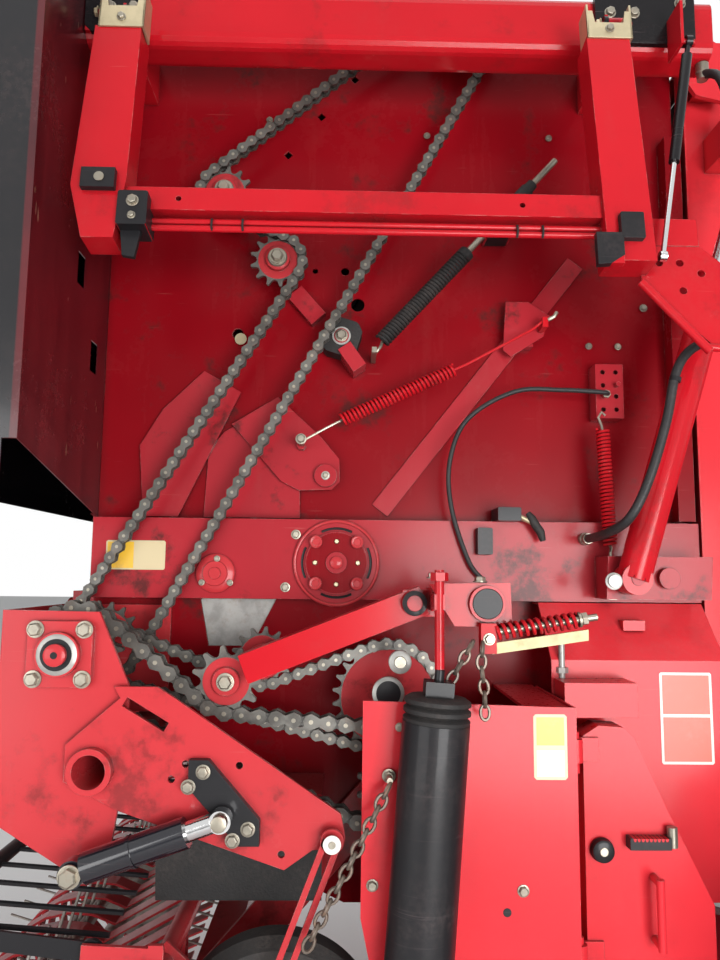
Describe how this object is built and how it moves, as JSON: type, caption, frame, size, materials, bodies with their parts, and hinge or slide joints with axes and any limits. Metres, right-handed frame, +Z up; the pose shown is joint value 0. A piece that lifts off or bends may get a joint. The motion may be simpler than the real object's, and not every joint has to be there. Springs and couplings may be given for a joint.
{
  "type": "round baler",
  "caption": "Towed round baler with belts, a tined pickup, an opening tailgate and an open drive side with chains, springs and hydraulic cylinders.",
  "frame": {"origin": "on the ground under the middle of the whole machine's box", "axes": "+X to the rear where the tailgate is, +Z up, the open drive side faces -Y"},
  "size_m": [4.05, 2.5, 2.64],
  "materials": {
    "red_paint": "gloss paint, dusty and scuffed",
    "black_paint": "gloss black paint, scratched",
    "chain_steel": "oiled steel with dark grime",
    "grey_steel": "worn light grey",
    "chrome": "hard chrome rod",
    "belt_rubber": "ribbed black rubber",
    "tyre_rubber": "dusty tyre rubber",
    "wheel_paint": "pale paint",
    "lamp_plastic": "red and amber lens"
  },
  "bodies": {
    "chassis": {"left_wall": "red_paint", "right_wall": "red_paint", "main_frame": "red_paint", "axle": "red_paint", "drawbar": "red_paint", "hitch_eye": "black_paint", "jack_tube": "red_paint", "gearbox": "red_paint", "main_shaft": "chain_steel", "heavy_drive": "chain_steel", "light_drive": "chain_steel", "net_drive": "chain_steel", "front_hood": "black_paint", "bearing_plates": "red_paint", "top_beams": "red_paint", "wall_fittings": "red_paint", "tension_arm": "red_paint", "relief_spring": "black_paint", "wall_springs": "chain_steel", "valve_block": "red_paint", "hoses": "belt_rubber", "lower_panel": "red_paint", "rear_panels": "red_paint", "feed_flap": "belt_rubber", "chamber_rollers": "grey_steel", "front_belts": "belt_rubber", "feed_rotor": "red_paint", "roof": "red_paint"},
    "tailgate": {"tailgate_shell": "red_paint", "tailgate_rollers": "grey_steel", "tailgate_belts": "belt_rubber", "tail_lamps": "lamp_plastic"},
    "ram_left_barrel": {"ram_left_barrel": "red_paint"},
    "ram_left_rod": {"ram_left_rod": "chrome"},
    "ram_right_barrel": {"ram_right_barrel": "red_paint"},
    "ram_right_rod": {"ram_right_rod": "chrome"},
    "wheel_left": {"tyre_left": "tyre_rubber", "rim_left": "wheel_paint"},
    "wheel_right": {"tyre_right": "tyre_rubber", "rim_right": "wheel_paint"},
    "pickup": {"pickup_frame": "red_paint", "pickup_bands": "red_paint"},
    "reel": {"pickup_reel": "chain_steel"},
    "wind_guard": {"wind_guard": "black_paint"},
    "gauge_wheel_left": {"gauge_wheel_left": "tyre_rubber"},
    "gauge_wheel_right": {"gauge_wheel_right": "tyre_rubber"},
    "lift_arm": {"lift_arm": "red_paint"},
    "lift_barrel": {"lift_barrel": "black_paint"},
    "lift_rod": {"lift_rod": "chrome"},
    "lift_straps": {"lift_straps": "red_paint"},
    "guard_frame": {"guard_frame": "red_paint"},
    "strut_barrel": {"strut_barrel": "black_paint"},
    "strut_rod": {"strut_rod": "chrome"},
    "right_guard": {"right_guard": "red_paint"},
    "side_door": {"side_door": "red_paint"},
    "jack_leg": {"jack_leg": "grey_steel"}
  },
  "joints": [
    {"name": "tailgate_open", "type": "hinge", "parent": "chassis", "child": "tailgate", "pos_m": [0.95, 0, 2.55], "axis": [0, -1, 0], "range_deg": [0, 60]},
    {"name": "ram_left_swing", "type": "hinge", "parent": "chassis", "child": "ram_left_barrel", "pos_m": [0.802, -0.78, 1.298], "axis": [0, -1, 0], "range_deg": [-5, 1]},
    {"name": "ram_left_slide", "type": "slide", "parent": "ram_left_barrel", "child": "ram_left_rod", "axis": [0.2945, 0, 0.9557], "range_m": [-0.002, 0.33]},
    {"name": "ram_right_swing", "type": "hinge", "parent": "chassis", "child": "ram_right_barrel", "pos_m": [0.802, 0.78, 1.298], "axis": [0, -1, 0], "range_deg": [-5, 1]},
    {"name": "ram_right_slide", "type": "slide", "parent": "ram_right_barrel", "child": "ram_right_rod", "axis": [0.2945, 0, 0.9557], "range_m": [-0.002, 0.33]},
    {"name": "wheel_left_spin", "type": "hinge", "parent": "chassis", "child": "wheel_left", "pos_m": [1.4, -1.025, 0.475], "axis": [0, 1, 0], "continuous": true},
    {"name": "wheel_right_spin", "type": "hinge", "parent": "chassis", "child": "wheel_right", "pos_m": [1.4, 1.025, 0.475], "axis": [0, 1, 0], "continuous": true},
    {"name": "pickup_tilt", "type": "hinge", "parent": "chassis", "child": "pickup", "pos_m": [0.375, 0, 0.922], "axis": [0, -1, 0], "range_deg": [0, 12]},
    {"name": "reel_spin", "type": "hinge", "parent": "pickup", "child": "reel", "pos_m": [-0.3, 0, 0.44], "axis": [0, 1, 0], "continuous": true},
    {"name": "wind_guard_lift", "type": "hinge", "parent": "pickup", "child": "wind_guard", "pos_m": [-0.15, 0, 0.703], "axis": [0, 1, 0], "range_deg": [0, 15]},
    {"name": "gauge_wheel_left_spin", "type": "hinge", "parent": "pickup", "child": "gauge_wheel_left", "pos_m": [0.138, -0.85, 0.51], "axis": [0, 1, 0], "continuous": true},
    {"name": "gauge_wheel_right_spin", "type": "hinge", "parent": "pickup", "child": "gauge_wheel_right", "pos_m": [0.138, 0.85, 0.51], "axis": [0, 1, 0], "continuous": true},
    {"name": "lift_arm_swing", "type": "hinge", "parent": "chassis", "child": "lift_arm", "pos_m": [-0.179, 0, 0.969], "axis": [0, -1, 0], "range_deg": [-5, 1]},
    {"name": "lift_barrel_swing", "type": "hinge", "parent": "chassis", "child": "lift_barrel", "pos_m": [-0.187, -0.952, 0.82], "axis": [0, -1, 0], "range_deg": [-4, 1]},
    {"name": "lift_rod_slide", "type": "slide", "parent": "lift_barrel", "child": "lift_rod", "axis": [0.945, 0, 0.3271], "range_m": [-0.013, 0.002]},
    {"name": "strap_swing", "type": "hinge", "parent": "lift_arm", "child": "lift_straps", "pos_m": [0.229, 0, 0.863], "axis": [0, -1, 0], "range_deg": [-1, 21]},
    {"name": "guard_frame_swing", "type": "hinge", "parent": "chassis", "child": "guard_frame", "pos_m": [0, -0.874, 2.388], "axis": [-1, 0, 0], "range_deg": [0, 75]},
    {"name": "strut_barrel_swing", "type": "hinge", "parent": "chassis", "child": "strut_barrel", "pos_m": [0.895, -0.908, 2.33], "axis": [-1, 0, 0], "range_deg": [-1, 88]},
    {"name": "strut_rod_slide", "type": "slide", "parent": "strut_barrel", "child": "strut_rod", "axis": [-0.1895, -0.115, -0.9751], "range_m": [-0.002, 0.032]},
    {"name": "right_guard_swing", "type": "hinge", "parent": "chassis", "child": "right_guard", "pos_m": [0, 0.874, 2.388], "axis": [1, 0, 0], "range_deg": [0, 75]},
    {"name": "side_door_swing", "type": "hinge", "parent": "chassis", "child": "side_door", "pos_m": [0.655, -0.874, 0.8], "axis": [0, 0, -1], "range_deg": [0, 95]},
    {"name": "jack_slide", "type": "slide", "parent": "chassis", "child": "jack_leg", "axis": [0, 0, 1], "range_m": [0, 0.3]}
  ],
  "couplings": [
    {"joint": "ram_left_swing", "follows": "tailgate_open", "ratio": -0.0605},
    {"joint": "ram_left_slide", "follows": "tailgate_open", "m_per_rad": 0.2995},
    {"joint": "ram_right_swing", "follows": "tailgate_open", "ratio": -0.0605},
    {"joint": "ram_right_slide", "follows": "tailgate_open", "m_per_rad": 0.2995},
    {"joint": "lift_arm_swing", "follows": "pickup_tilt", "ratio": -0.3072},
    {"joint": "lift_barrel_swing", "follows": "pickup_tilt", "ratio": -0.2405},
    {"joint": "lift_rod_slide", "follows": "pickup_tilt", "m_per_rad": -0.0429},
    {"joint": "strap_swing", "follows": "pickup_tilt", "ratio": 1.6095},
    {"joint": "strut_barrel_swing", "follows": "guard_frame_swing", "ratio": 1.1252},
    {"joint": "strut_rod_slide", "follows": "guard_frame_swing", "m_per_rad": 0.0196}
  ]
}
